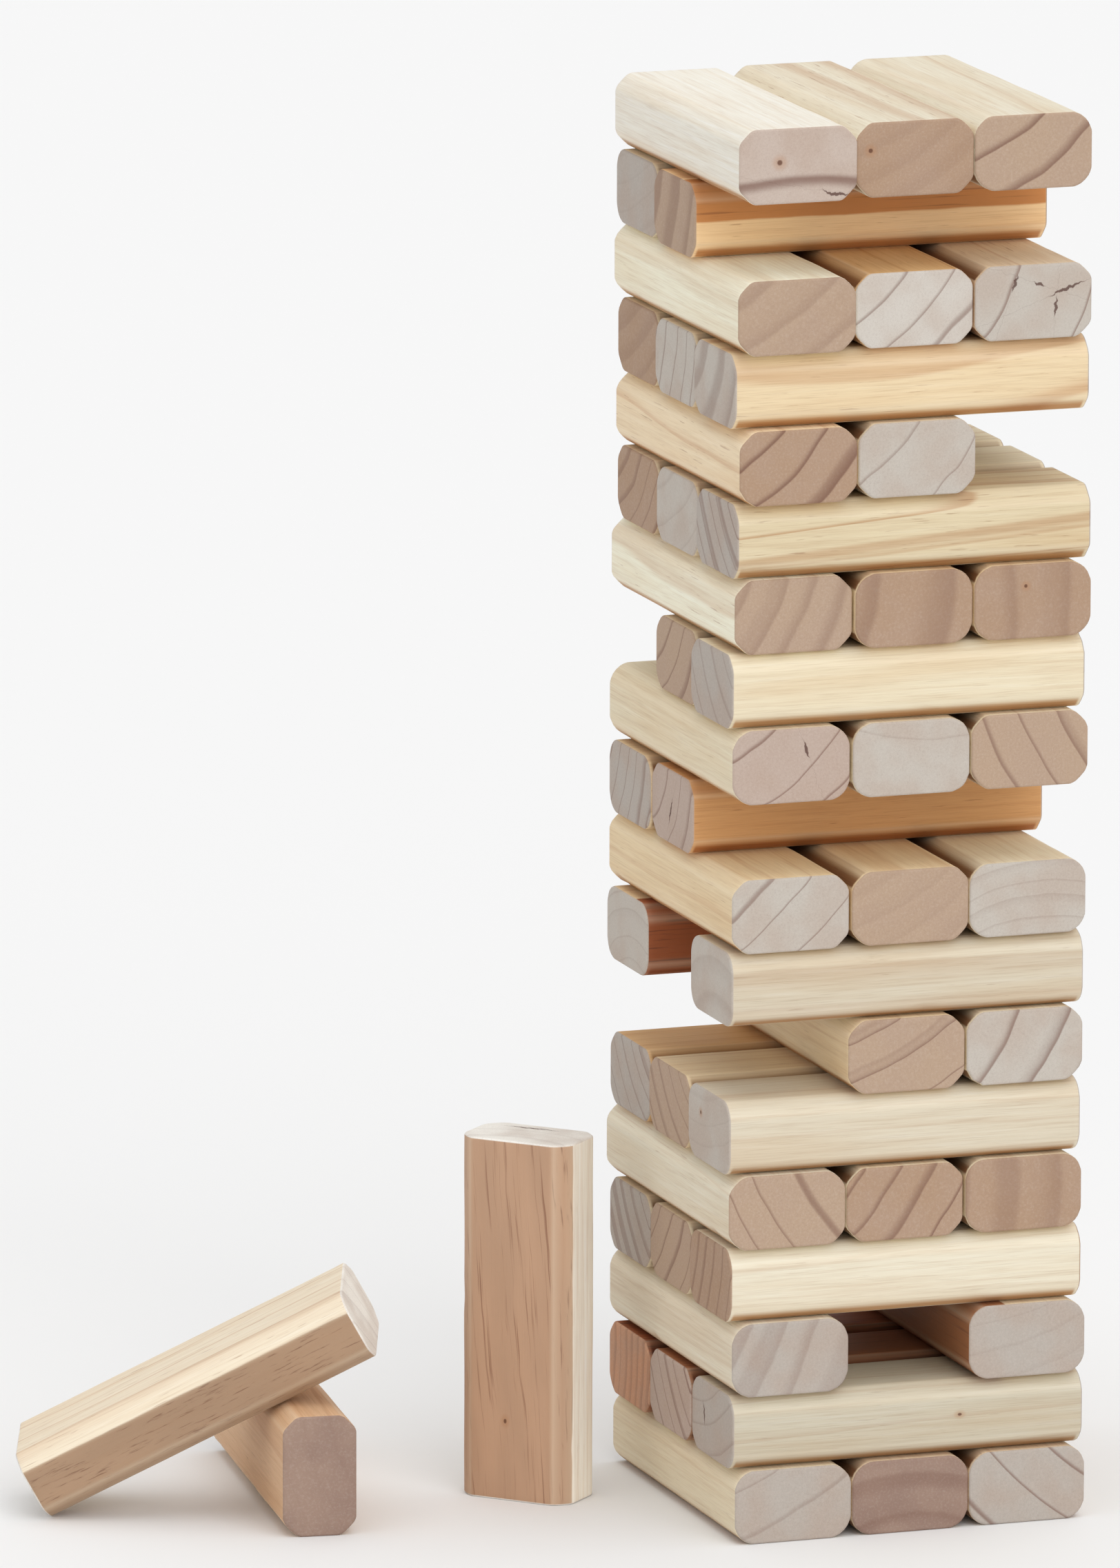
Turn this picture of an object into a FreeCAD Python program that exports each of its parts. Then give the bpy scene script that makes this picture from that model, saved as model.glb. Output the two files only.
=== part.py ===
import FreeCAD, Part
import math
import os
import Sketcher

# Giant tumbling tower: planed pine blocks stacked three to a layer, each layer laid across
# the one below it, part way through a game. Three blocks already taken lie beside the tower.
# Millimetres, +Z up. The origin is the centre of the tower's footprint, on the ground.
# Layer 1 lies on the ground. Odd layers run front to back (Y), even layers left to right (X).

BLOCK_LENGTH = 190.0
BLOCK_WIDTH = 63.0
BLOCK_THICKNESS = 38.4
LONG_CHAMFER = 7.0
END_CHAMFER = 1.2
SIDE_GAP = 0.5
STACK_GAP = 0.05
LAYERS = 19

SLOTS_ODD = ("left", "middle", "right")
SLOTS_EVEN = ("front", "middle", "back")

# Places a player has already emptied.
EMPTY = {
    (3, "middle"),
    (7, "left"),
    (8, "middle"),
    (10, "front"),
    (12, "back"),
    (15, "right"),
    (18, "front"),
}

# How far play has pushed a block sideways (X, Y) from its place in the pattern.
PUSHED = {
    (1, "left"): (2.0, 0.0),
    (1, "middle"): (2.0, 0.0),
    (1, "right"): (2.0, 0.0),
    (2, "front"): (0.5, 0.0),
    (3, "right"): (1.5, 0.0),
    (4, "front"): (-1.0, 0.0),
    (5, "left"): (-2.0, 0.0),
    (5, "middle"): (-2.0, 0.0),
    (5, "right"): (-1.0, 0.0),
    (6, "front"): (-2.0, 0.0),
    (6, "middle"): (-1.0, 0.0),
    (7, "middle"): (-1.5, 0.0),
    (7, "right"): (-1.0, 0.0),
    (8, "front"): (-1.0, 0.0),
    (8, "back"): (-2.0, 0.0),
    (9, "left"): (-1.0, 0.0),
    (10, "back"): (-1.0, 0.0),
    (11, "left"): (-1.0, 0.0),
    (11, "right"): (0.5, 0.0),
    (12, "front"): (-1.5, 0.0),
    (12, "middle"): (2.0, 0.0),
    (13, "left"): (0.5, 2.0),
    (13, "middle"): (1.0, 0.0),
    (13, "right"): (1.5, 0.0),
    (14, "front"): (1.0, 0.0),
    (14, "middle"): (2.0, 0.0),
    (14, "back"): (3.0, 0.0),
    (15, "left"): (1.0, -3.0),
    (15, "middle"): (2.0, 0.0),
    (16, "front"): (-0.5, 0.0),
    (16, "middle"): (1.0, 0.0),
    (16, "back"): (3.0, 0.0),
    (17, "left"): (-0.5, -4.0),
    (17, "right"): (0.5, 0.0),
    (18, "back"): (2.0, 0.0),
    (19, "left"): (0.0, -3.0),
}

# The three loose blocks beside the tower.
STANDING_CENTRE = (-157.0, 43.5)
STANDING_HEADING = -46.0
PROPPING_CENTRE = (-275.5, 85.5)
PROPPING_HEADING = 83.0
LEANING_HEEL = (-405.5, 72.7, -0.3)
LEANING_HEADING = -24.0
LEANING_RISE = 27.9
LEANING_ROLL = 7.9


def make_sheet(document):
    """The spreadsheet that every block takes its sizes from."""
    sheet = document.addObject("Spreadsheet::Sheet", "sizes")
    rows = (
        ("block_length", BLOCK_LENGTH),
        ("block_width", BLOCK_WIDTH),
        ("block_thickness", BLOCK_THICKNESS),
        ("long_chamfer", LONG_CHAMFER),
        ("end_chamfer", END_CHAMFER),
        ("side_gap", SIDE_GAP),
        ("stack_gap", STACK_GAP),
    )
    for number, (alias, value) in enumerate(rows, start=1):
        sheet.set("A%d" % number, alias)
        sheet.set("B%d" % number, str(value))
        sheet.setAlias("B%d" % number, alias)
    return sheet


def base_plane(body):
    """The body's own XY plane."""
    return [item for item in body.Origin.OriginFeatures if item.Role == "XY_Plane"][0]


def draw_outline(sketch):
    """A rectangle centred on the body's origin, length along X and width along Y."""
    half_length = BLOCK_LENGTH / 2.0
    half_width = BLOCK_WIDTH / 2.0
    corners = (
        FreeCAD.Vector(-half_length, -half_width, 0.0),
        FreeCAD.Vector(half_length, -half_width, 0.0),
        FreeCAD.Vector(half_length, half_width, 0.0),
        FreeCAD.Vector(-half_length, half_width, 0.0),
    )
    for number in range(4):
        line = Part.LineSegment(corners[number], corners[(number + 1) % 4])
        sketch.addGeometry(line, False)
    for number in range(4):
        sketch.addConstraint(Sketcher.Constraint("Coincident", number, 2, (number + 1) % 4, 1))
    for number in (0, 2):
        sketch.addConstraint(Sketcher.Constraint("Horizontal", number))
    for number in (1, 3):
        sketch.addConstraint(Sketcher.Constraint("Vertical", number))
    sketch.addConstraint(Sketcher.Constraint("Symmetric", 0, 1, 1, 2, -1, 1))
    length = sketch.addConstraint(Sketcher.Constraint("DistanceX", 0, 1, 0, 2, BLOCK_LENGTH))
    width = sketch.addConstraint(Sketcher.Constraint("DistanceY", 1, 1, 1, 2, BLOCK_WIDTH))
    sketch.setExpression("Constraints[%d]" % length, "sizes.block_length")
    sketch.setExpression("Constraints[%d]" % width, "sizes.block_width")


def long_edges(shape):
    """Names of the four edges that run the full length of the block."""
    names = []
    for number, edge in enumerate(shape.Edges, start=1):
        if abs(edge.Length - BLOCK_LENGTH) < 0.01:
            names.append("Edge%d" % number)
    return names


def end_faces(shape):
    """Names of the two end faces."""
    names = []
    for number, face in enumerate(shape.Faces, start=1):
        if abs(abs(face.CenterOfMass.x) - BLOCK_LENGTH / 2.0) < 0.01:
            names.append("Face%d" % number)
    return names


def add_chamfer(document, body, name, base, elements, alias):
    """One 45 degree chamfer on the named edges or faces of the base feature."""
    chamfer = body.newObject("PartDesign::Chamfer", name)
    chamfer.Base = (base, elements)
    chamfer.setExpression("Size", "sizes." + alias)
    document.recompute()
    return chamfer


def make_block(document, node, placement):
    """One planed block: a rectangle padded to its thickness, then its arrises taken off."""
    body = document.addObject("PartDesign::Body", node)
    body.Label = node
    sketch = body.newObject("Sketcher::SketchObject", node + "_outline")
    sketch.AttachmentSupport = [(base_plane(body), "")]
    sketch.MapMode = "FlatFace"
    draw_outline(sketch)
    pad = body.newObject("PartDesign::Pad", node + "_plank")
    pad.Profile = sketch
    pad.setExpression("Length", "sizes.block_thickness")
    document.recompute()
    edges = long_edges(pad.Shape)
    sides = add_chamfer(document, body, node + "_sides", pad, edges, "long_chamfer")
    faces = end_faces(sides.Shape)
    add_chamfer(document, body, node + "_ends", sides, faces, "end_chamfer")
    body.Placement = placement
    return body


def tower_placement(layer, place):
    """Where a block of the tower goes. place is 0, 1 or 2 across the layer."""
    across = (place - 1) * (BLOCK_WIDTH + SIDE_GAP)
    height = (layer - 1) * (BLOCK_THICKNESS + STACK_GAP)
    if layer % 2 == 1:
        slot = SLOTS_ODD[place]
        centre = FreeCAD.Vector(across, 0.0, height)
        heading = 90.0
    else:
        slot = SLOTS_EVEN[place]
        centre = FreeCAD.Vector(0.0, across, height)
        heading = 0.0
    push_x, push_y = PUSHED.get((layer, slot), (0.0, 0.0))
    centre = centre + FreeCAD.Vector(push_x, push_y, 0.0)
    return slot, FreeCAD.Placement(centre, FreeCAD.Rotation(heading, 0.0, 0.0))


def make_tower(document):
    """Every block still in the tower."""
    for layer in range(1, LAYERS + 1):
        for place in range(3):
            slot, placement = tower_placement(layer, place)
            if (layer, slot) in EMPTY:
                continue
            make_block(document, "layer_%02d_%s" % (layer, slot), placement)


def direction(heading):
    """Level unit vector at a heading in degrees from +X."""
    angle = math.radians(heading)
    return FreeCAD.Vector(math.cos(angle), math.sin(angle), 0.0)


def standing_placement():
    """On its end, its wide face turned half towards the front."""
    upright = FreeCAD.Rotation(FreeCAD.Vector(1.0, 1.0, 1.0), 240.0)
    turned = FreeCAD.Rotation(STANDING_HEADING, 0.0, 0.0).multiply(upright)
    through = direction(STANDING_HEADING + 90.0)
    centre = FreeCAD.Vector(STANDING_CENTRE[0], STANDING_CENTRE[1], BLOCK_LENGTH / 2.0)
    return FreeCAD.Placement(centre - through * (BLOCK_THICKNESS / 2.0), turned)


def propping_placement():
    """On its narrow side, with the leaning block's weight on its top edge."""
    on_side = FreeCAD.Rotation(FreeCAD.Vector(1.0, 0.0, 0.0), 90.0)
    turned = FreeCAD.Rotation(PROPPING_HEADING, 0.0, 0.0).multiply(on_side)
    through = direction(PROPPING_HEADING - 90.0)
    centre = FreeCAD.Vector(PROPPING_CENTRE[0], PROPPING_CENTRE[1], BLOCK_WIDTH / 2.0)
    return FreeCAD.Placement(centre - through * (BLOCK_THICKNESS / 2.0), turned)


def leaning_placement():
    """Heel on the ground, wide face down across the propping block's top edge."""
    tilted = FreeCAD.Rotation(LEANING_HEADING, -LEANING_RISE, LEANING_ROLL)
    heel = FreeCAD.Vector(-BLOCK_LENGTH / 2.0, -BLOCK_WIDTH / 2.0 + LONG_CHAMFER, 0.0)
    return FreeCAD.Placement(FreeCAD.Vector(*LEANING_HEEL) - tilted.multVec(heel), tilted)


def make_loose_blocks(document):
    """The three blocks beside the tower."""
    make_block(document, "loose_standing_block", standing_placement())
    make_block(document, "loose_propping_block", propping_placement())
    make_block(document, "loose_leaning_block", leaning_placement())


def check_and_export(document):
    """Every feature must be sound before any file is written."""
    for item in document.Objects:
        if "Invalid" in item.State or "Error" in item.State:
            raise RuntimeError("%s: %s" % (item.Name, item.State))
    bodies = [item for item in document.Objects if item.TypeId == "PartDesign::Body"]
    for body in bodies:
        if body.Shape.isNull() or not body.Shape.isValid():
            raise RuntimeError("%s has no sound shape" % body.Label)
    for body in bodies:
        body.Shape.exportStep("parts/%s.step" % body.Label)
    print("%d blocks written" % len(bodies))


os.makedirs("parts", exist_ok=True)
document = FreeCAD.newDocument("tumbling_tower")
make_sheet(document)
make_tower(document)
make_loose_blocks(document)
document.recompute()
check_and_export(document)
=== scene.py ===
import math
import random
import bpy
from mathutils import Euler, Matrix, Vector, noise


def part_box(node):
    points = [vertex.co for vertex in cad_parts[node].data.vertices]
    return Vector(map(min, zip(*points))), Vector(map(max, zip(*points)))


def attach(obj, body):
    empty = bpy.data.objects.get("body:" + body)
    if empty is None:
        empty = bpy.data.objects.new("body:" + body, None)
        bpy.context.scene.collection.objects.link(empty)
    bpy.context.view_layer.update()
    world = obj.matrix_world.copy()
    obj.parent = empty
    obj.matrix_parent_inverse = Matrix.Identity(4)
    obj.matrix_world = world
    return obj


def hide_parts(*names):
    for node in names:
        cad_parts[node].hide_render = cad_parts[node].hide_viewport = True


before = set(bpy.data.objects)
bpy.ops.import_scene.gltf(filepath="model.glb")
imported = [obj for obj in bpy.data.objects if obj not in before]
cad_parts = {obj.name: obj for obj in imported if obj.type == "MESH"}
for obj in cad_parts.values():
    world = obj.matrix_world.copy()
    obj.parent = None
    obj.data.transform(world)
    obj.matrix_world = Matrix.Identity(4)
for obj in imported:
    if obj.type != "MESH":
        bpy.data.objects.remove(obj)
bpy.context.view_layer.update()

# A giant tumbling tower of planed pine blocks, part way through a game, with three loose blocks.
# Every block is built in its own frame: X along the grain, Y across its width, Z through its
# thickness, with the origin at its centre. The left (or front) end of a block is its -X end.

MM = 0.001
LENGTH = 190.0 * MM
WIDTH = 63.0 * MM
THICKNESS = 38.4 * MM
CHAMFER = 7.0 * MM
END_EASE = 1.2 * MM

# Half a block in millimetres, the unit of the materials' coordinates.
HALF_LENGTH_MM = LENGTH / MM / 2.0
HALF_WIDTH_MM = WIDTH / MM / 2.0
HALF_THICKNESS_MM = THICKNESS / MM / 2.0

# A corner of the profile has nine points. These are their places round a full round, in
# degrees, how worn each is, and how far the first and last lie beyond the arris, which keeps
# the shading of the flats flat.
CORNER_TURNS = (0, 8, 20, 32, 45, 58, 70, 82, 90)
CORNER_WEAR = (0.0, 0.2, 1.0, 0.6, 0.2, 0.6, 1.0, 0.2, 0.0)
SUPPORT = 0.8 * MM

# A full round's radius for each unit of chamfer, the range of the arrises' softness, and the
# most that a chamfer is wider than the CAD one (mm).
ROUND_RADIUS = 1.45
EDGE_SOFTNESS = (1.2, 2.0)
CHAMFER_SPREAD = 0.9

# The mesh: the longest step across a flat, the rows next to each end, and how many parts the
# length is cut into.
FLAT_STEP = 9.0 * MM
END_ROWS = (4.0 * MM, 9.0 * MM)
LENGTH_PARTS = 20

# Worn arrises: how deep (mm) with no noise, how much the noise changes that, how fast the
# noise runs along and across the block, how worn a point is before it can be dented, and the
# range of the dents' number, size and depth (mm).
WEAR_DEPTH = 0.25
WEAR_WAVE = 0.35
WAVE_ALONG = 28.0
WAVE_ACROSS = 30.0
DENTED_FROM = 0.3
DENT_COUNT = (2, 6)
DENT_SIZE = (2.0, 5.0)
DENT_DEPTH = (0.2, 0.7)

STANDING_HEADING = -46.0
PROPPING_HEADING = 83.0
LEANING_HEADING = -24.0
LEANING_RISE = 27.9
LEANING_ROLL = 7.9

NAME_START = "pine_"

FLOOR_SIZE = 14.0
FLOOR_GREY = (0.86, 0.86, 0.86, 1.0)
FLOOR_ROUGHNESS = 0.9
FLOOR_SPECULAR = 0.1

# Each sun's name, the way its light goes, its strength, and how wide it is in degrees.
SUNS = (
    ("studio_top", (-0.10, 0.12, -1.0), 1.05, 60.0),
    ("studio_front", (-0.08, 1.0, -0.50), 0.95, 50.0),
    ("studio_left", (0.95, 0.10, -0.50), 0.18, 50.0),
)
SKY_STRENGTH = 0.60

CAMERA_PLACE = (-2.918, -8.014, 2.131)
CAMERA_DOWN = 11.66
CAMERA_HEADING = -19.02
CAMERA_ROLL = 0.13
LENS = 390.7
SENSOR_WIDTH = 36.0
CLIP_END = 100.0


# ---------------------------------------------------------------- colours

def colour(red, green, blue):
    """Linear colour from 0-255 display values."""
    def linear(value):
        value = value / 255.0
        return value / 12.92 if value <= 0.04045 else ((value + 0.055) / 1.055) ** 2.4
    return (linear(red), linear(green), linear(blue), 1.0)


END_TINTS = {
    "bright": colour(246, 243, 236),
    "white": colour(206, 199, 190),
    "pale": colour(194, 186, 176),
    "grey": colour(182, 173, 164),
    "pink": colour(188, 168, 155),
    "tan": colour(182, 156, 133),
    "brown": colour(174, 144, 119),
    "rose": colour(196, 179, 167),
    "russet": colour(205, 154, 121),
    "dark": colour(150, 124, 111),
}

SIDE_TINTS = {
    "cream": colour(232, 219, 190),
    "pale": colour(231, 222, 200),
    "chalk": colour(241, 236, 223),
    "light": colour(239, 225, 201),
    "ivory": colour(247, 243, 221),
    "bleached": colour(253, 248, 236),
    "butter": colour(241, 220, 186),
    "flax": colour(221, 205, 171),
    "sand": colour(213, 202, 180),
    "linen": colour(218, 207, 185),
    "ash": colour(203, 194, 173),
    "warm": colour(233, 211, 173),
    "tan": colour(224, 202, 172),
    "honey": colour(222, 182, 130),
    "peach": colour(222, 184, 146),
    "copper": colour(214, 162, 108),
    "amber": colour(250, 214, 164),
}

# What multiplies a block's tone on its sides, and the painted shade that darkens it on its
# chamfers.
WARM_PATCH = (0.90, 0.78, 0.66, 1.0)
LATEWOOD = (0.62, 0.36, 0.21, 1.0)
DARK_FIBRE = (0.68, 0.52, 0.41, 1.0)
PALE_FIBRE = (1.12, 1.20, 1.38, 1.0)
FINE_FIBRE = (0.56, 0.44, 0.35, 1.0)
RESIN_FLECK = (0.42, 0.25, 0.18, 1.0)
# Painted shade: under the bottom chamfers, and deep in the grooves between two blocks.
UNDERSIDE_SHADE = (0.62, 0.40, 0.25, 1.0)
GROOVE_SHADE = (0.30, 0.18, 0.12, 1.0)
PALER_HEARTWOOD_AND_SHADE = (1.25, 1.25, 1.25, 1.0)

# What is mixed into a block's tone.
END_PATCH = colour(178, 152, 134)
END_LIGHT = colour(224, 214, 204)
END_SHADE = colour(146, 122, 110)
END_RING = colour(112, 74, 60)
END_PORE = colour(140, 116, 104)
WORN_EDGE = colour(246, 232, 206)
CRACK = colour(84, 52, 44)
KNOT_HALO = colour(176, 124, 82)
KNOT_HEART = colour(96, 58, 40)

# Growth rings: how fast and by how many years the rings' spacing varies, the year at the
# ring line, how much of the dark band is its sharp end, how late it darkens, the weakest
# ring's strength and how much more the others can have, and how far the grain wanders across
# the block (mm) and what share of that it wanders through it.
UNEVEN_RATE = 0.4
UNEVEN_YEARS = 0.5
LINE_YEAR = 40.65
SHARP_SHARE = 0.22
LATENESS = 1.5
WEAKEST_RING = 0.65
RING_VARIATION = 0.35
WANDER = 9.0
WANDER_THROUGH = 0.6

# Heartwood and painted shade drawn the same way: how far the edge wavers, and how far the
# streaks bend for each unit of slant (mm).
HEARTWOOD_AND_SHADE_WAVER = 1.2
HEARTWOOD_AND_SHADE_BEND = 60.0

# Cracks: half the width at the middle, and how far they wobble (mm).
CRACK_HALF_WIDTH = 0.9
CRACK_WOBBLE = 5.0

# Finish: how far worn edges go to their paler tone, the long grain's roughness, what fibres
# and end grain add to it, and the relief of the rings and of the whole.
WORN_SHARE = 0.22
ROUGHNESS = 0.48
FIBRE_ROUGHNESS = 0.25
END_ROUGHNESS = 0.15
SPECULAR = 0.3
RING_RELIEF = 0.5
BUMP_STRENGTH = 0.35
BUMP_DISTANCE = 0.25 * MM


# ---------------------------------------------------------------- how each block looks

# tone of the end grain, tone of the sides, angle of the growth rings on the -X end (degrees,
# rising to the right), distance of the tree's centre from the block's (mm, minus is below),
# ring width (mm), how dark the rings are on the ends, and on the sides
LOOKS = {
    "layer_01_left": ("grey", "cream", 30, 220, 26, 0.35, 0.2),
    "layer_01_middle": ("dark", "tan", 0, -90, 18, 0.45, 0.3),
    "layer_01_right": ("grey", "tan", -42, 200, 24, 0.90, 0.3),
    "layer_02_front": ("grey", "ash", 20, 90, 14, 0.30, 0.3),
    "layer_02_middle": ("pink", "cream", -50, 120, 12, 0.70, 0.3),
    "layer_02_back": ("russet", "warm", 86, 120, 9, 0.40, 0.3),
    "layer_03_left": ("grey", "pale", 66, 190, 20, 0.35, 0.2),
    "layer_03_right": ("grey", "cream", 15, 200, 15, 0.12, 0.1),
    "layer_04_front": ("brown", "pale", 75, 110, 12, 0.60, 0.15),
    "layer_04_middle": ("tan", "cream", 50, 100, 14, 0.80, 0.3),
    "layer_04_back": ("grey", "cream", -50, 120, 12, 0.50, 0.2),
    "layer_05_left": ("tan", "pale", -58, 160, 19, 0.75, 0.3),
    "layer_05_middle": ("brown", "cream", 55, 160, 17, 0.80, 0.3),
    "layer_05_right": ("brown", "cream", 88, 200, 24, 0.35, 0.3),
    "layer_06_front": ("pale", "linen", 10, 150, 12, 0.12, 0.2),
    "layer_06_middle": ("tan", "warm", -45, 90, 12, 0.55, 0.4),
    "layer_06_back": ("grey", "honey", -45, 100, 12, 0.50, 0.3),
    "layer_07_middle": ("tan", "warm", 28, 170, 23, 0.85, 0.3),
    "layer_07_right": ("pale", "cream", 60, 180, 23, 0.90, 0.3),
    "layer_08_front": ("pale", "sand", 10, -60, 18, 0.18, 0.3),
    "layer_08_back": ("pale", "warm", 10, -60, 12, 0.22, 0.3),
    "layer_09_left": ("pale", "warm", 45, 170, 18, 0.75, 0.3),
    "layer_09_middle": ("tan", "warm", 30, 150, 14, 0.12, 0.3),
    "layer_09_right": ("pale", "cream", 5, -110, 9, 0.24, 0.2),
    "layer_10_middle": ("pink", "copper", 60, 60, 18, 0.70, 0.5),
    "layer_10_back": ("grey", "warm", 65, 110, 12, 0.60, 0.3),
    "layer_11_left": ("pink", "cream", 40, 160, 25, 0.90, 0.2),
    "layer_11_middle": ("pale", "cream", -6, 160, 30, 0.22, 0.2),
    "layer_11_right": ("tan", "cream", -62, 190, 19, 0.75, 0.2),
    "layer_12_front": ("grey", "cream", -50, 90, 16, 0.35, 0.1),
    "layer_12_middle": ("tan", "cream", 50, 100, 17, 0.80, 0.3),
    "layer_13_left": ("tan", "ivory", 66, 160, 17, 0.40, 0.5),
    "layer_13_middle": ("brown", "warm", 82, 160, 38, 0.45, 0.3),
    "layer_13_right": ("brown", "warm", 90, 200, 30, 0.35, 0.3),
    "layer_14_front": ("grey", "flax", -50, 120, 12, 0.60, 0.65),
    "layer_14_middle": ("pale", "cream", 30, 120, 18, 0.20, 0.2),
    "layer_14_back": ("brown", "cream", 45, 100, 13, 0.60, 0.4),
    "layer_15_left": ("brown", "butter", 45, 150, 19, 1.00, 0.5),
    "layer_15_middle": ("pale", "cream", 48, 160, 34, 0.60, 0.2),
    "layer_16_front": ("pale", "warm", 60, 60, 22, 0.45, 0.55),
    "layer_16_middle": ("pale", "cream", 75, 130, 15, 0.70, 0.3),
    "layer_16_back": ("brown", "cream", 30, 120, 16, 0.25, 0.2),
    "layer_17_left": ("tan", "ivory", 35, 160, 22, 0.30, 0.2),
    "layer_17_middle": ("white", "honey", 46, 180, 19, 0.75, 0.5),
    "layer_17_right": ("pale", "tan", 66, 130, 36, 0.85, 0.6),
    "layer_18_middle": ("tan", "amber", 70, 110, 24, 0.50, 0.4),
    "layer_18_back": ("grey", "cream", 20, 150, 14, 0.10, 0.2),
    "layer_19_left": ("rose", "chalk", 0, -190, 40, 1.0, 0.1),
    "layer_19_middle": ("brown", "pale", 30, 150, 14, 0.14, 0.6),
    "layer_19_right": ("tan", "pale", 34, 140, 21, 0.95, 0.3),
    "loose_standing_block": ("bright", "bleached", 0, -66, 16, 0.14, 0.12),
    "loose_leaning_block": ("bright", "light", 68, -92, 16, 0.25, 0.6),
    "loose_propping_block": ("dark", "peach", 20, 200, 14, 0.08, 0.3),
}

# The blocks next to each place in a layer, and the side of the block, along its own y, that
# they are on.
NEIGHBOURS = {
    "left": (("middle", -1.0),),
    "middle": (("left", 1.0), ("right", -1.0), ("front", -1.0), ("back", 1.0)),
    "right": (("middle", 1.0),),
    "front": (("middle", 1.0),),
    "back": (("middle", -1.0),),
}
TOP_LAYER = "19"

# Blocks whose brown heartwood shows, and blocks with painted shade drawn the same way. It
# fills the block up to a plane: the direction across the block that the plane faces (degrees
# from y towards z), how far that way from the middle it lies (mm), the wood's colour and its
# streaks' colour, and where in their noise the streaks start. The usual streaks run along the
# block. Grain is how fast their noise runs along and across it, and slant is how far they lean
# off it.
USUAL_HEARTWOOD_AND_SHADE = {
    "grain": (0.012, 0.55),
    "slant": 0.0,
}
HEARTWOOD_AND_SHADE = {
    # The next three are heartwood darkened further with painted shade: the shade inside the gap
    # through layer 3.
    "layer_02_middle": {
        "direction": 315,
        "edge": 4.0,
        "tint": colour(150, 92, 56),
        "streak": colour(104, 58, 34),
        "threshold": 0.55,
    },
    "layer_02_back": {
        "direction": 315,
        "edge": 4.0,
        "tint": colour(148, 78, 42),
        "streak": colour(98, 50, 30),
        "threshold": 0.52,
    },
    "layer_03_right": {
        "direction": 180,
        "edge": -12.0,
        "tint": colour(150, 95, 58),
        "streak": colour(112, 66, 40),
        "threshold": 0.56,
    },
    # Heartwood darkened further with painted shade: the shade inside the gap through layer 8.
    "layer_08_back": {
        "direction": 0,
        "edge": -12.0,
        "tint": colour(148, 76, 40),
        "streak": colour(98, 48, 28),
        "threshold": 0.52,
        "slant": 0.02,
    },
    # Painted shade, not heartwood: the shadow of layer 19's overhang on the upper front of this
    # block.
    "layer_18_middle": {
        "direction": 315,
        "edge": -22.5,
        "tint": colour(196, 130, 72),
        "streak": colour(152, 92, 50),
        "threshold": 0.54,
    },
    "loose_standing_block": {
        "direction": 90,
        "edge": -11.0,
        "tint": colour(183, 145, 116),
        "streak": colour(132, 86, 60),
        "threshold": 0.56,
        "slant": 0.08,
    },
    "loose_leaning_block": {
        "direction": 35,
        "edge": -19.2,
        "tint": colour(165, 134, 107),
        "streak": colour(124, 88, 66),
        "grain": (0.075, 1.05),
        "threshold": 0.56,
    },
}

# How round the corners of a block are, from 0, a crisp chamfer, to 1. The rest are drawn from
# the usual range.
USUAL_ROUNDNESS = (0.10, 0.35)
ROUNDNESS = {
    "layer_01_left": 0.65,
    "layer_01_middle": 0.75,
    "layer_01_right": 0.70,
    "layer_02_front": 0.60,
    "layer_03_left": 0.85,
    "layer_03_right": 0.80,
    "layer_04_front": 0.55,
    "layer_05_right": 0.90,
    "layer_06_front": 0.80,
    "layer_08_front": 0.95,
    "layer_08_back": 0.95,
    "layer_09_right": 0.75,
    "layer_10_back": 0.85,
    "layer_11_left": 0.65,
    "layer_11_middle": 0.90,
    "layer_13_middle": 0.85,
    "layer_13_right": 0.75,
    "layer_18_back": 0.80,
    "layer_19_right": 0.60,
    "loose_leaning_block": 0.05,
    "loose_propping_block": 0.20,
    "loose_standing_block": 0.25,
}

# Where a growth ring's dark line passes the middle of a block, for blocks with few of them:
# millimetres away from the tree's centre.
RING_LINE = {
    "layer_01_left": 2.0,
    "layer_01_middle": 12.0,
    "layer_01_right": 2.0,
    "layer_03_left": 12.0,
    "layer_05_left": 4.0,
    "layer_05_middle": -12.0,
    "layer_05_right": 20.0,
    "layer_07_middle": -2.0,
    "layer_07_right": -13.0,
    "layer_09_left": -3.0,
    "layer_11_left": 3.0,
    "layer_11_middle": -8.0,
    "layer_11_right": -4.0,
    "layer_13_middle": 20.0,
    "layer_13_right": 22.0,
    "layer_15_left": 0.0,
    "layer_15_middle": -14.0,
    "layer_17_left": 0.0,
    "layer_17_middle": 2.0,
    "layer_17_right": -15.0,
    "layer_18_middle": 0.0,
    "layer_19_left": -11.0,
    "layer_19_right": 8.0,
}

# How wide the dark part of each growth ring is (mm), where it isn't the usual line: finer and
# thicker lines first, then broad faint bands.
USUAL_BAND = 3.0
USUAL_BAND_SHARE = 0.35
RING_BAND = {
    "layer_07_middle": 1.2,
    "layer_09_left": 2.2,
    "layer_01_right": 4.0,
    "layer_05_middle": 5.0,
    "layer_07_right": 5.0,
    "layer_11_right": 4.5,
    "layer_15_left": 6.5,
    "layer_19_left": 4.0,
    "layer_01_middle": 13.0,
    "layer_03_left": 14.0,
    "layer_05_right": 18.0,
    "layer_08_front": 12.0,
    "layer_09_middle": 11.0,
    "layer_13_left": 12.0,
    "layer_13_middle": 26.0,
    "layer_13_right": 22.0,
    "layer_16_back": 12.0,
    "layer_16_front": 12.0,
    "layer_17_left": 16.0,
    "layer_18_middle": 18.0,
    "layer_19_middle": 10.0,
}

# Blocks cut well off the tree's line, so that rings sweep across their faces: how far the
# tree's centre drifts in y and z for each millimetre along the block.
SWEEP = {
    "layer_14_front": (0.02, -0.06),
    "layer_16_front": (0.10, -0.26),
}

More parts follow.
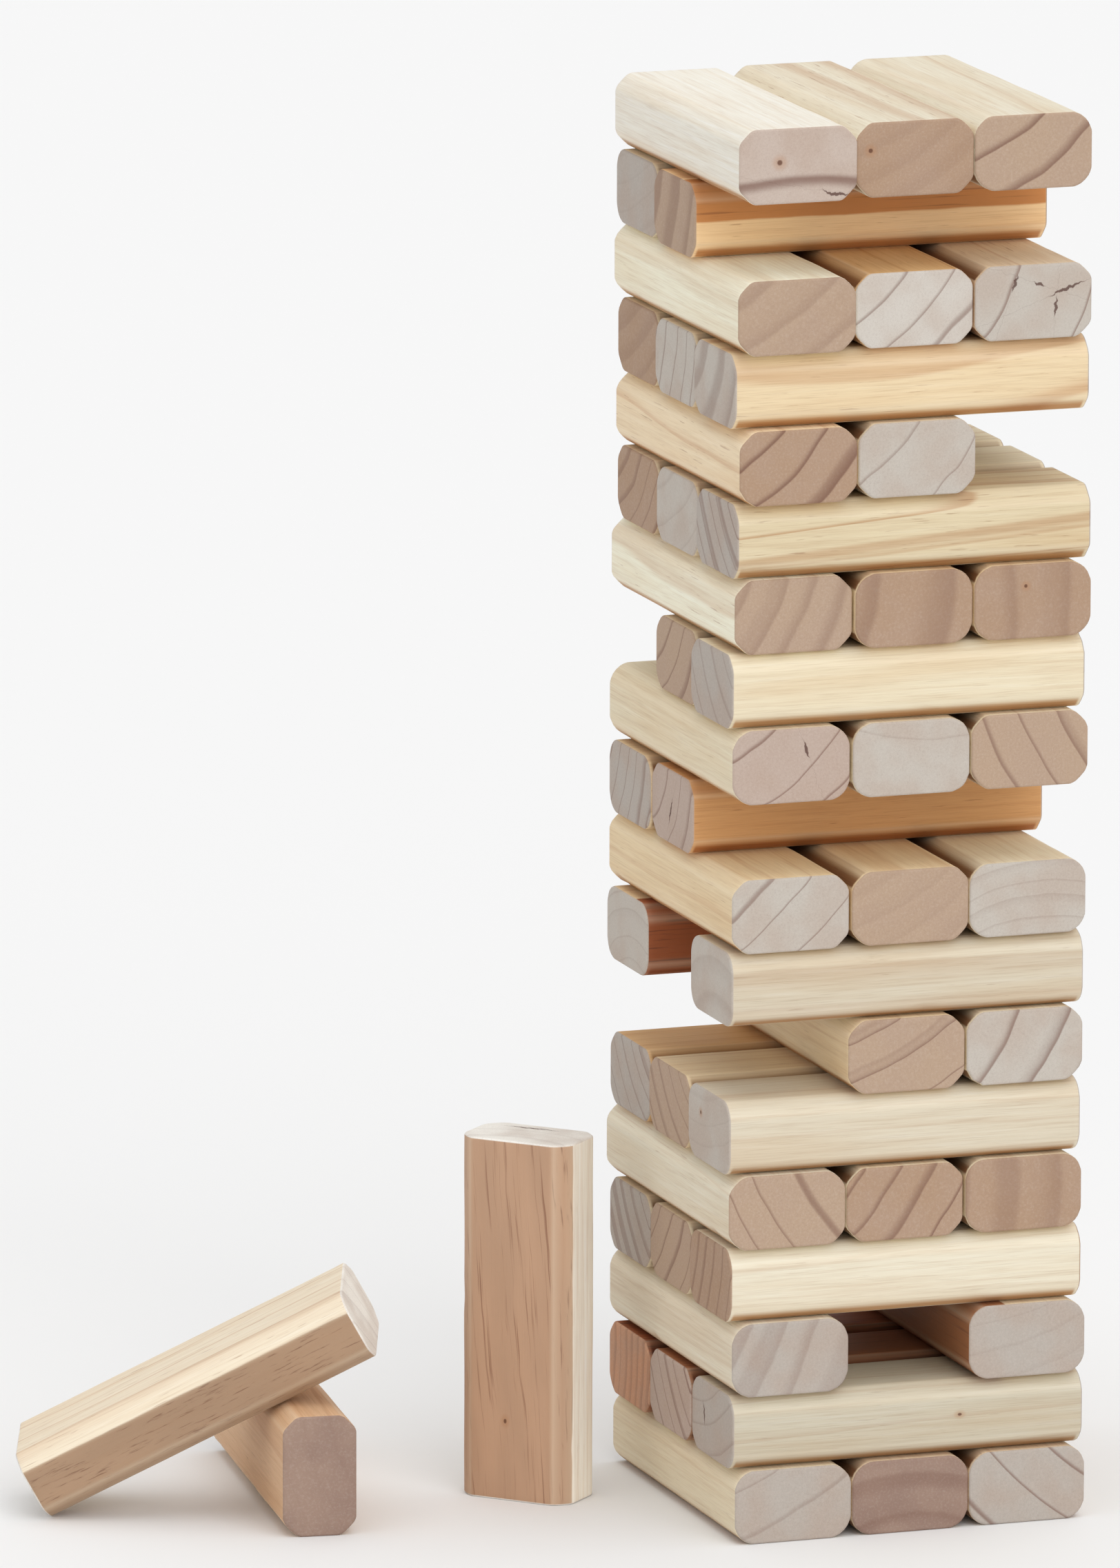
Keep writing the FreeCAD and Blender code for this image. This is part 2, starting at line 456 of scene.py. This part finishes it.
# Drying cracks on the ends: which end, (y, z) of the middle, direction in degrees and length
# (mm).
CRACKS = {
    "layer_02_front": ((-1, 12.0, 2.0, 80.0, 16.0),),
    "layer_10_middle": ((-1, 2.0, -2.0, 115.0, 20.0),),
    "layer_11_left": ((-1, -8.0, 8.0, 70.0, 12.0),),
    "layer_17_right": (
        (-1, -18.0, 6.0, 160.0, 26.0),
        (-1, -12.0, -3.0, 95.0, 13.0),
        (-1, -3.0, 9.0, 20.0, 8.0),
        (-1, 10.0, 10.0, 110.0, 12.0),
    ),
    "layer_19_left": ((-1, -20.0, -15.0, 12.0, 20.0),),
    "loose_standing_block": ((1, -4.0, 12.0, 2.0, 40.0),),
}

# Pin knots: (x, y, z) of the centre and its radius, in mm.
KNOTS = {
    "layer_02_front": (28.0, -31.5, 2.0, 1.0),
    "layer_06_front": (-95.0, 12.0, 6.0, 1.3),
    "layer_13_right": (-95.0, 4.0, 8.0, 1.2),
    "layer_19_left": (-95.0, 10.0, 2.0, 1.8),
    "layer_19_middle": (-95.0, 24.0, 5.0, 1.5),
    "loose_standing_block": (-53.0, -3.5, -19.2, 1.1),
}


# ---------------------------------------------------------------- block shape

def corner_points(chamfer, softness, roundness):
    """One corner of the profile, from the narrow side round to the wide face.

    Points are (in from the narrow side, in from the wide face, wear), all in metres but wear,
    which is 1 on an arris and 0 on a flat. Roundness 0 is a plain chamfer with softened
    arrises, and roundness 1 is a full round.
    """
    edge = softness * math.sqrt(0.5)
    plain = [
        (0.0, chamfer + softness + SUPPORT),
        (0.0, chamfer + softness),
        (edge * 0.25, chamfer + softness * 0.07),
        (edge, chamfer - edge),
        (chamfer * 0.5, chamfer * 0.5),
    ]
    plain += [(face, side) for side, face in reversed(plain[:-1])]
    radius = chamfer * ROUND_RADIUS
    points = []
    for (side, face), turn, wear in zip(plain, CORNER_TURNS, CORNER_WEAR):
        angle = math.radians(turn)
        round_side = radius * (1.0 - math.cos(angle))
        round_face = radius * (1.0 - math.sin(angle))
        points.append((
            side + (round_side - side) * roundness,
            face + (round_face - face) * roundness,
            wear,
        ))
    return points


def block_profile(chamfers, softness, roundness):
    """Closed profile in Y and Z: a list of (y, z, wear), anticlockwise seen from +X."""
    half_y = WIDTH / 2.0
    half_z = THICKNESS / 2.0
    signs = ((1, 1), (-1, 1), (-1, -1), (1, -1))
    points = []
    for number, (sign_y, sign_z) in enumerate(signs):
        corner = []
        for from_side, from_face, wear in corner_points(chamfers[number], softness, roundness):
            y = sign_y * (half_y - from_side)
            z = sign_z * (half_z - from_face)
            corner.append((y, z, wear))
        if sign_y * sign_z < 0:
            corner.reverse()
        points.extend(corner)
    return points


def fill_flats(points, step):
    """Adds points along the long flats of the profile so that no span is over step."""
    filled = []
    for number, point in enumerate(points):
        after = points[(number + 1) % len(points)]
        span = math.hypot(after[0] - point[0], after[1] - point[1])
        count = max(1, int(span / step))
        for part in range(count):
            share = part / count
            filled.append(tuple(a + (b - a) * share for a, b in zip(point, after)))
    return filled


def stations():
    """Places along the block where the profile is repeated: (x, inset, wear)."""
    half = LENGTH / 2.0
    ease = []
    for angle in (0, 30, 60, 90):
        turn = math.radians(angle)
        inset = END_EASE * (1.0 - math.sin(turn))
        ease.append((half - END_EASE * (1.0 - math.cos(turn)), inset, math.sin(2 * turn)))
    inner = [half - row for row in END_ROWS]
    middle = [-half + LENGTH * part / LENGTH_PARTS for part in range(2, LENGTH_PARTS - 1)]
    places = [(-x, inset, wear) for x, inset, wear in ease]
    places += [(-x, 0.0, 0.0) for x in inner]
    places += [(x, 0.0, 0.0) for x in middle]
    places += [(x, 0.0, 0.0) for x in reversed(inner)]
    places += [(x, inset, wear) for x, inset, wear in reversed(ease)]
    return places


def knocks(rng, count):
    """Small dents along the arrises: (x, corner, size, depth)."""
    found = []
    for _ in range(count):
        x = rng.uniform(-LENGTH / 2.0, LENGTH / 2.0)
        corner = rng.randrange(4)
        size = rng.uniform(*DENT_SIZE) * MM
        depth = rng.uniform(*DENT_DEPTH) * MM
        found.append((x, corner, size, depth))
    return found


def shape_point(x, y, z, wear, inset, seed, dents):
    """Where a point of the block really lies: eased ends, worn arrises whose depth wavers
    along the block, and dents.
    """
    half_y = WIDTH / 2.0
    half_z = THICKNESS / 2.0
    y = y * (half_y - inset) / half_y
    z = z * (half_z - inset) / half_z
    wave = noise.noise(Vector((x * WAVE_ALONG, y * WAVE_ACROSS + seed, z * WAVE_ACROSS)))
    inward = wear * (WEAR_DEPTH + WEAR_WAVE * wave) * MM
    corner = 0
    if y < 0.0:
        corner = 1 if z > 0.0 else 2
    elif z < 0.0:
        corner = 3
    for place, which, size, depth in dents:
        if which == corner and wear > DENTED_FROM:
            inward += depth * math.exp(-((x - place) / size) ** 2)
    away = Vector((y, z))
    away.normalize()
    return Vector((x, y - away.x * inward, z - away.y * inward))


def block_mesh(name, roundness, rng):
    """The mesh of one block, with a 'wear' value at every point."""
    softness = rng.uniform(*EDGE_SOFTNESS) * MM
    chamfers = [CHAMFER + rng.uniform(0.0, CHAMFER_SPREAD) * MM for _ in range(4)]
    profile = fill_flats(block_profile(chamfers, softness, roundness), FLAT_STEP)
    dents = knocks(rng, rng.randrange(*DENT_COUNT))
    seed = rng.uniform(0.0, 100.0)
    places = stations()
    count = len(profile)
    points = []
    wears = []
    for x, inset, end_wear in places:
        for y, z, wear in profile:
            points.append(shape_point(x, y, z, wear, inset, seed, dents))
            wears.append(max(wear, end_wear))
    faces = []
    for row in range(len(places) - 1):
        for number in range(count):
            after = (number + 1) % count
            low = row * count
            high = low + count
            faces.append((low + number, low + after, high + after, high + number))
    last = (len(places) - 1) * count
    faces.append(tuple(reversed(range(count))))
    faces.append(tuple(range(last, last + count)))
    mesh = bpy.data.meshes.new(name)
    mesh.from_pydata(points, [], faces)
    attribute = mesh.attributes.new("wear", "FLOAT", "POINT")
    attribute.data.foreach_set("value", wears)
    mesh.update()
    for polygon in mesh.polygons:
        polygon.use_smooth = len(polygon.vertices) == 4
    return mesh


# ---------------------------------------------------------------- wood

class Nodes:
    """Short calls for building one material's node tree."""

    def __init__(self, material):
        material.use_nodes = True
        self.tree = material.node_tree
        self.tree.nodes.clear()

    def node(self, kind, **settings):
        made = self.tree.nodes.new(kind)
        for name, value in settings.items():
            setattr(made, name, value)
        return made

    def feed(self, socket, value):
        if isinstance(value, bpy.types.NodeSocket):
            self.tree.links.new(value, socket)
        else:
            socket.default_value = value

    def math(self, operation, first, second=0.0, third=0.0):
        made = self.node("ShaderNodeMath", operation=operation)
        self.feed(made.inputs[0], first)
        self.feed(made.inputs[1], second)
        self.feed(made.inputs[2], third)
        return made.outputs[0]

    def vector(self, operation, first, second):
        made = self.node("ShaderNodeVectorMath", operation=operation)
        self.feed(made.inputs[0], first)
        self.feed(made.inputs[1], second)
        return made.outputs["Vector"]

    def join(self, x, y, z):
        made = self.node("ShaderNodeCombineXYZ")
        for socket, value in zip(made.inputs, (x, y, z)):
            self.feed(socket, value)
        return made.outputs[0]

    def noise(self, place, scale=1.0, detail=2.0, roughness=0.5):
        made = self.node("ShaderNodeTexNoise")
        self.feed(made.inputs["Vector"], place)
        self.feed(made.inputs["Scale"], scale)
        self.feed(made.inputs["Detail"], detail)
        self.feed(made.inputs["Roughness"], roughness)
        return made.outputs["Fac"]

    def mix(self, share, first, second, blend="MIX"):
        made = self.node("ShaderNodeMix", data_type="RGBA", blend_type=blend)
        self.feed(made.inputs[0], share)
        self.feed(made.inputs[6], first)
        self.feed(made.inputs[7], second)
        return made.outputs[2]

    def ramp(self, value, low, high, from_value=0.0, to_value=1.0):
        made = self.node("ShaderNodeMapRange", interpolation_type="SMOOTHSTEP")
        self.feed(made.inputs["Value"], value)
        self.feed(made.inputs["From Min"], low)
        self.feed(made.inputs["From Max"], high)
        self.feed(made.inputs["To Min"], from_value)
        self.feed(made.inputs["To Max"], to_value)
        return made.outputs["Result"]


def block_coordinates(nodes, seed):
    """The block's own coordinates in millimetres, with the seed of its noises: (x, y, z, seed)."""
    place = nodes.node("ShaderNodeTexCoord").outputs["Object"]
    scaled = nodes.vector("MULTIPLY", place, (1000.0, 1000.0, 1000.0))
    split = nodes.node("ShaderNodeSeparateXYZ")
    nodes.feed(split.inputs[0], scaled)
    return split.outputs[0], split.outputs[1], split.outputs[2], seed


def stretched(nodes, place, along, across, offset):
    """Coordinates squeezed along the grain, so that a noise read there makes streaks.

    Each noise has its own offset, so that no two repeat each other.
    """
    x, y, z, seed = place
    return nodes.join(
        nodes.math("MULTIPLY_ADD", x, along, seed + offset),
        nodes.math("MULTIPLY_ADD", y, across, seed),
        nodes.math("MULTIPLY", z, across),
    )


def tree_radius(nodes, place, angle, centre, sweep):
    """Distance from the middle of the tree, in millimetres, with the grain's wander."""
    x, y, z = place[:3]
    turn = math.radians(angle)
    pith_y = math.sin(turn) * centre
    pith_z = math.cos(turn) * centre
    wander = nodes.noise(stretched(nodes, place, 0.006, 0.02, 3.0), 1.0, 2.0)
    wander = nodes.math("MULTIPLY", nodes.math("SUBTRACT", wander, 0.5), WANDER)
    from_end = nodes.math("ADD", x, HALF_LENGTH_MM)
    off_y = nodes.math("MULTIPLY_ADD", from_end, sweep[0], nodes.math("SUBTRACT", y, pith_y))
    off_z = nodes.math("MULTIPLY_ADD", from_end, sweep[1], nodes.math("SUBTRACT", z, pith_z))
    off_y = nodes.math("ADD", off_y, wander)
    off_z = nodes.math("ADD", off_z, nodes.math("MULTIPLY", wander, WANDER_THROUGH))
    square = nodes.math("MULTIPLY_ADD", off_y, off_y, nodes.math("MULTIPLY", off_z, off_z))
    return nodes.math("SQRT", square)


def growth_rings(nodes, radius, centre, width, line, band, seed):
    """Dark latewood bands: rising through the late season and ending sharply.

    One band passes the block's middle at 'line' millimetres, counted away from the tree's
    centre.
    """
    uneven = nodes.node("ShaderNodeTexNoise", noise_dimensions="1D")
    nodes.feed(uneven.inputs["W"], nodes.math("MULTIPLY_ADD", radius, UNEVEN_RATE / width, seed))
    nodes.feed(uneven.inputs["Detail"], 0.0)
    years = nodes.math("SUBTRACT", radius, abs(centre) + line)
    years = nodes.math("MULTIPLY_ADD", years, 1.0 / width, LINE_YEAR)
    years = nodes.math("MULTIPLY_ADD", uneven.outputs["Fac"], UNEVEN_YEARS, years)
    season = nodes.math("MULTIPLY", nodes.math("FRACT", years), width)
    fall = band * SHARP_SHARE
    late = nodes.ramp(season, width - band - fall, width - fall)
    late = nodes.math("POWER", late, LATENESS)
    late = nodes.math("MULTIPLY", late, nodes.ramp(season, width - fall, width, 1.0, 0.0))
    chance = nodes.node("ShaderNodeTexWhiteNoise", noise_dimensions="1D")
    nodes.feed(chance.inputs["W"], nodes.math("FLOOR", years))
    chance = chance.outputs["Value"]
    strength = nodes.math("MULTIPLY_ADD", chance, RING_VARIATION, WEAKEST_RING)
    return nodes.math("MULTIPLY", late, strength)


def side_colour(nodes, place, late, tint, contrast):
    """Long grain: cream earlywood, honey latewood, fine fibres and short resin flecks.

    Everything multiplies the block's own tint, so that dark blocks keep their depth.
    """
    broad = nodes.noise(stretched(nodes, place, 0.006, 0.05, 11.0), 1.0, 2.0)
    fibres = nodes.noise(stretched(nodes, place, 0.012, 0.45, 23.0), 1.0, 4.0, 0.6)
    fine = nodes.noise(stretched(nodes, place, 0.05, 2.6, 31.0), 1.0, 2.0)
    flecks = nodes.noise(stretched(nodes, place, 0.05, 0.9, 47.0), 1.0, 3.0)
    fleck_start = 0.70 - 0.12 * contrast
    layers = (
        (nodes.ramp(broad, 0.40, 0.75, 0.0, 0.5), WARM_PATCH),
        (nodes.math("MULTIPLY", late, contrast), LATEWOOD),
        (nodes.ramp(fibres, 0.45, 0.75, 0.0, 0.30), DARK_FIBRE),
        (nodes.ramp(fibres, 0.48, 0.25, 0.0, 0.30), PALE_FIBRE),
        (nodes.ramp(fine, 0.45, 0.8, 0.0, 0.30), FINE_FIBRE),
        (
            nodes.ramp(flecks, fleck_start, fleck_start + 0.10, 0.0, 0.25 + 0.4 * contrast),
            RESIN_FLECK,
        ),
    )
    base = tint
    for share, factor in layers:
        base = nodes.mix(share, base, factor, "MULTIPLY")
    return base


def groove_sides(node):
    """Which sides of a block, along its own y, lie against the next block of its layer."""
    row, spot = node.rsplit("_", 1)
    return [side for other, side in NEIGHBOURS[spot] if f"{row}_{other}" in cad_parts]


def paint_chamfer_shade(nodes, node, place, surface):
    """Painted shade on the chamfers, in a warm orange brown: towards the bottom edges, under
    each block, and darkest deep in the grooves between two blocks. The distances here are
    in millimetres from the block's middle, its flats or its ends.
    """
    x, y, z = place[:3]
    inside_y = nodes.math("SUBTRACT", HALF_WIDTH_MM, nodes.math("ABSOLUTE", y))
    inside_z = nodes.math("SUBTRACT", HALF_THICKNESS_MM, nodes.math("ABSOLUTE", z))
    on_chamfer = nodes.ramp(nodes.math("MINIMUM", inside_y, inside_z), 0.3, 0.9)
    off_rim = nodes.ramp(nodes.math("ABSOLUTE", x), HALF_LENGTH_MM - 1.6, HALF_LENGTH_MM - 3.2)
    on_chamfer = nodes.math("MULTIPLY", on_chamfer, off_rim)
    groove = 0.0
    for side in groove_sides(node):
        facing = nodes.ramp(nodes.math("MULTIPLY", y, side), -3.0, 3.0)
        groove = nodes.math("MAXIMUM", groove, facing)
    if node.split("_")[1] == TOP_LAYER:
        groove = nodes.math("MULTIPLY", groove, nodes.ramp(z, 3.0, -3.0))
    # Painted shade on the lower chamfers of the outer sides.
    below = nodes.math("MULTIPLY", nodes.ramp(z, 3.0, -3.0), nodes.ramp(inside_y, 0.8, 4.5))
    below = nodes.math("MULTIPLY", below, nodes.math("SUBTRACT", 1.0, groove))
    below = nodes.math("MULTIPLY", below, on_chamfer)
    # Painted shade deep in the grooves between two blocks.
    deep = nodes.math("MULTIPLY", groove, nodes.ramp(inside_z, 1.0, 5.0, 0.25, 1.0))
    deep = nodes.math("MULTIPLY", deep, on_chamfer)
    surface = nodes.mix(below, surface, UNDERSIDE_SHADE, "MULTIPLY")
    return nodes.mix(deep, surface, GROOVE_SHADE, "MULTIPLY")


def end_colour(nodes, place, late, tint, contrast):
    """End grain: greyer, faintly mottled, with the rings drawn as darker lines."""
    x, y, z, seed = place
    flat = nodes.join(nodes.math("MULTIPLY_ADD", x, 0.01, seed), y, z)
    patches = nodes.noise(flat, 0.04, 2.0)
    mottle = nodes.noise(flat, 0.8, 3.0, 0.65)
    pores = nodes.noise(flat, 2.2, 2.0, 0.7)
    base = nodes.mix(nodes.ramp(patches, 0.35, 0.7, 0.0, 0.35), tint, END_PATCH)
    base = nodes.mix(nodes.ramp(mottle, 0.45, 0.75, 0.0, 0.12), base, END_LIGHT)
    base = nodes.mix(nodes.ramp(mottle, 0.50, 0.25, 0.0, 0.14), base, END_SHADE)
    base = nodes.mix(nodes.math("MULTIPLY", late, contrast), base, END_RING)
    return nodes.mix(nodes.ramp(pores, 0.50, 0.80, 0.0, 0.35), base, END_PORE)


def add_heartwood_and_shade(nodes, place, surface, brown_part):
    """Heartwood in one part of a block, brown with a wavering edge and dark streaks. Some
    blocks have painted shade drawn the same way.
    """
    x, y, z, seed = place
    turn = math.radians(brown_part["direction"])
    edge = brown_part["edge"]
    slant = brown_part["slant"]
    threshold = brown_part["threshold"]
    along, crosswise = brown_part["grain"]
    waver = nodes.noise(stretched(nodes, place, 0.03, 0.02, 67.0), 1.0, 3.0)
    across = nodes.math("MULTIPLY", nodes.math("SUBTRACT", waver, 0.5), HEARTWOOD_AND_SHADE_WAVER)
    across = nodes.math("MULTIPLY_ADD", y, math.cos(turn), across)
    across = nodes.math("MULTIPLY_ADD", z, math.sin(turn), across)
    bend = nodes.noise(stretched(nodes, place, 0.018, 0.03, 59.0), 1.0, 2.0)
    bend = nodes.math("MULTIPLY", nodes.math("SUBTRACT", bend, 0.5), HEARTWOOD_AND_SHADE_BEND * slant)
    bend = nodes.math("MULTIPLY_ADD", x, slant, bend)
    bent = (x, nodes.math("ADD", y, bend), z, seed)
    clouds = nodes.noise(stretched(nodes, bent, 0.010, 0.05, 83.0), 1.0, 2.0)
    streaks = nodes.noise(stretched(nodes, bent, along, crosswise, 71.0), 1.0, 3.0, 0.6)
    streaks = nodes.ramp(streaks, threshold, threshold + 0.14, 0.0, 0.75)
    cloudy = nodes.ramp(clouds, 0.35, 0.70, 0.0, 0.5)
    brown = nodes.mix(cloudy, brown_part["tint"], PALER_HEARTWOOD_AND_SHADE, "MULTIPLY")
    brown = nodes.mix(streaks, brown, brown_part["streak"])
    inside = nodes.ramp(across, edge + 0.5, edge - 0.5, 0.0, 0.97)
    return nodes.mix(inside, surface, brown)


def add_crack(nodes, place, surface, crack, on_end):
    """A thin dark drying crack that tapers to nothing at both ends."""
    x, y, z, seed = place
    end, centre_y, centre_z, angle, length = crack
    turn = math.radians(angle)
    off_y = nodes.math("SUBTRACT", y, centre_y)
    off_z = nodes.math("SUBTRACT", z, centre_z)
    along = nodes.math("MULTIPLY", off_y, math.cos(turn))
    along = nodes.math("MULTIPLY_ADD", off_z, math.sin(turn), along)
    across = nodes.math("MULTIPLY", off_y, -math.sin(turn))
    across = nodes.math("MULTIPLY_ADD", off_z, math.cos(turn), across)
    wobble = nodes.noise(nodes.join(along, seed, 0.0), 0.25, 3.0)
    wobble = nodes.math("SUBTRACT", wobble, 0.5)
    across = nodes.math("MULTIPLY_ADD", wobble, CRACK_WOBBLE, across)
    taper = nodes.ramp(nodes.math("ABSOLUTE", along), length / 2.0, 0.0, 0.0, CRACK_HALF_WIDTH)
    inside = nodes.math("SUBTRACT", taper, nodes.math("ABSOLUTE", across))
    crack_here = nodes.ramp(inside, -0.2, 0.3, 0.0, 0.85)
    this_end = nodes.math("GREATER_THAN", nodes.math("MULTIPLY", x, end), 0.0)
    crack_here = nodes.math("MULTIPLY", crack_here, on_end)
    crack_here = nodes.math("MULTIPLY", crack_here, this_end)
    return nodes.mix(crack_here, surface, CRACK)


def add_knot(nodes, place, surface, knot):
    """A pin knot: a small dark spot in a faint warm halo."""
    centre_x, centre_y, centre_z, radius = knot
    off = nodes.join(
        nodes.math("MULTIPLY", nodes.math("SUBTRACT", place[0], centre_x), 0.7),
        nodes.math("SUBTRACT", place[1], centre_y),
        nodes.math("SUBTRACT", place[2], centre_z),
    )
    measure = nodes.node("ShaderNodeVectorMath", operation="LENGTH")
    nodes.feed(measure.inputs[0], off)
    distance = measure.outputs["Value"]
    halo = nodes.ramp(distance, radius * 3.0, radius, 0.0, 0.35)
    surface = nodes.mix(halo, surface, KNOT_HALO)
    heart = nodes.ramp(distance, radius, radius * 0.5, 0.0, 0.85)
    return nodes.mix(heart, surface, KNOT_HEART)


def wood(node, rng):
    """Planed pine, cut from its own place in its own tree."""
    end_tone, side_tone, angle, centre, width, end_contrast, side_contrast = LOOKS[node]
    material = bpy.data.materials.new(NAME_START + node)
    nodes = Nodes(material)
    seed = rng.uniform(0.0, 400.0)
    place = block_coordinates(nodes, seed)
    x = place[0]
    sweep = SWEEP.get(node, (rng.uniform(-0.03, 0.03), rng.uniform(-0.03, 0.03)))
    radius = tree_radius(nodes, place, angle, centre, sweep)
    line = RING_LINE.get(node, rng.uniform(0.0, width))
    band = RING_BAND.get(node, min(USUAL_BAND, width * USUAL_BAND_SHARE))
    late = growth_rings(nodes, radius, centre, width, line, band, seed)
    side = side_colour(nodes, place, late, SIDE_TINTS[side_tone], side_contrast)
    # Heartwood, and on some blocks painted shade drawn the same way.
    if node in HEARTWOOD_AND_SHADE:
        side = add_heartwood_and_shade(nodes, place, side, {**USUAL_HEARTWOOD_AND_SHADE, **HEARTWOOD_AND_SHADE[node]})
    end = end_colour(nodes, place, late, END_TINTS[end_tone], end_contrast)
    on_end = nodes.ramp(nodes.math("ABSOLUTE", x), HALF_LENGTH_MM - 1.1, HALF_LENGTH_MM - 0.6)
    wear = nodes.node("ShaderNodeAttribute", attribute_name="wear").outputs["Fac"]
    side = nodes.mix(nodes.math("MULTIPLY", wear, WORN_SHARE), side, WORN_EDGE)
    # Painted shade on the chamfers of the tower's blocks.
    if node.startswith("layer"):
        side = paint_chamfer_shade(nodes, node, place, side)
    surface = nodes.mix(on_end, side, end)
    for crack in CRACKS.get(node, ()):
        surface = add_crack(nodes, place, surface, crack, on_end)
    if node in KNOTS:
        surface = add_knot(nodes, place, surface, KNOTS[node])

    fibres = nodes.noise(stretched(nodes, place, 0.03, 1.4, 61.0), 1.0, 3.0)
    sawn = nodes.noise(nodes.join(nodes.math("MULTIPLY", x, 0.01), place[1], place[2]), 1.1, 3.0)
    relief = nodes.mix(on_end, fibres, sawn)
    ridge = nodes.math("MULTIPLY_ADD", late, RING_RELIEF, relief)
    bump = nodes.node("ShaderNodeBump")
    nodes.feed(bump.inputs["Height"], ridge)
    bump.inputs["Strength"].default_value = BUMP_STRENGTH
    bump.inputs["Distance"].default_value = BUMP_DISTANCE

    shader = nodes.node("ShaderNodeBsdfPrincipled")
    nodes.feed(shader.inputs["Base Color"], surface)
    roughness = nodes.math("MULTIPLY_ADD", fibres, FIBRE_ROUGHNESS, ROUGHNESS)
    roughness = nodes.math("MULTIPLY_ADD", on_end, END_ROUGHNESS, roughness)
    nodes.feed(shader.inputs["Roughness"], roughness)
    shader.inputs["Specular IOR Level"].default_value = SPECULAR
    nodes.feed(shader.inputs["Normal"], bump.outputs[0])
    output = nodes.node("ShaderNodeOutputMaterial")
    nodes.feed(output.inputs["Surface"], shader.outputs[0])
    return material


# ---------------------------------------------------------------- placing the blocks

def turned(angle, axis):
    return Matrix.Rotation(math.radians(angle), 3, axis)


def block_rotation(node):
    """How a block lies: tower blocks by layer, the loose ones as they were left."""
    if node == "loose_standing_block":
        upright = Matrix(((0.0, 1.0, 0.0), (0.0, 0.0, 1.0), (1.0, 0.0, 0.0)))
        return turned(STANDING_HEADING, "Z") @ upright
    if node == "loose_propping_block":
        return turned(PROPPING_HEADING, "Z") @ turned(90.0, "X")
    if node == "loose_leaning_block":
        level = turned(LEANING_HEADING, "Z") @ turned(-LEANING_RISE, "Y")
        return level @ turned(LEANING_ROLL, "X")
    layer = int(node.split("_")[1])
    return turned(90.0 if layer % 2 == 1 else 0.0, "Z")


def make_block(node):
    """A finished block in place of the CAD one."""
    rng = random.Random(node)
    roundness = ROUNDNESS.get(node, rng.uniform(*USUAL_ROUNDNESS))
    mesh = block_mesh(NAME_START + node, roundness, rng)
    mesh.materials.append(wood(node, rng))
    piece = bpy.data.objects.new(NAME_START + node, mesh)
    bpy.context.scene.collection.objects.link(piece)
    low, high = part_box(node)
    centre = (Vector(low) + Vector(high)) / 2.0
    piece.matrix_world = Matrix.Translation(centre) @ block_rotation(node).to_4x4()
    bpy.context.view_layer.update()
    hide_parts(node)
    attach(piece, node)


# ---------------------------------------------------------------- stage

def make_floor():
    """A plain pale floor, large enough to fill the view."""
    mesh = bpy.data.meshes.new("floor")
    signs = ((-1, -1), (1, -1), (1, 1), (-1, 1))
    corners = [(x * FLOOR_SIZE, y * FLOOR_SIZE, 0.0) for x, y in signs]
    mesh.from_pydata(corners, [], [(0, 1, 2, 3)])
    material = bpy.data.materials.new("floor")
    nodes = Nodes(material)
    shader = nodes.node("ShaderNodeBsdfPrincipled")
    shader.inputs["Base Color"].default_value = FLOOR_GREY
    shader.inputs["Roughness"].default_value = FLOOR_ROUGHNESS
    shader.inputs["Specular IOR Level"].default_value = FLOOR_SPECULAR
    output = nodes.node("ShaderNodeOutputMaterial")
    nodes.feed(output.inputs["Surface"], shader.outputs[0])
    mesh.materials.append(material)
    floor = bpy.data.objects.new("floor", mesh)
    bpy.context.scene.collection.objects.link(floor)


def make_sun(name, direction, strength, spread):
    """Even light from far off, softened over a wide part of the sky."""
    data = bpy.data.lights.new(name, "SUN")
    data.energy = strength
    data.angle = math.radians(spread)
    light = bpy.data.objects.new(name, data)
    light.rotation_euler = Vector(direction).to_track_quat("-Z", "Y").to_euler()
    bpy.context.scene.collection.objects.link(light)


def make_lights():
    """A bright even studio: soft light from above, the front and a little from the left."""
    for name, direction, strength, spread in SUNS:
        make_sun(name, direction, strength, spread)
    world = bpy.data.worlds.new("studio")
    world.use_nodes = True
    background = world.node_tree.nodes["Background"]
    background.inputs["Color"].default_value = (1.0, 1.0, 1.0, 1.0)
    background.inputs["Strength"].default_value = SKY_STRENGTH
    bpy.context.scene.world = world


def make_camera():
    """A long lens from the front left, looking slightly down."""
    data = bpy.data.cameras.new("camera")
    data.sensor_width = SENSOR_WIDTH
    data.lens = LENS
    data.clip_end = CLIP_END
    camera = bpy.data.objects.new("camera", data)
    camera.location = CAMERA_PLACE
    tilt = math.radians(90.0 - CAMERA_DOWN)
    facing = Euler((tilt, 0.0, math.radians(CAMERA_HEADING))).to_matrix()
    camera.rotation_euler = (facing @ turned(CAMERA_ROLL, "Z")).to_euler()
    bpy.context.scene.collection.objects.link(camera)
    bpy.context.scene.camera = camera


make_camera()
make_lights()
make_floor()
for node_name in sorted(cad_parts):
    make_block(node_name)
bpy.context.scene.view_settings.view_transform = "Standard"
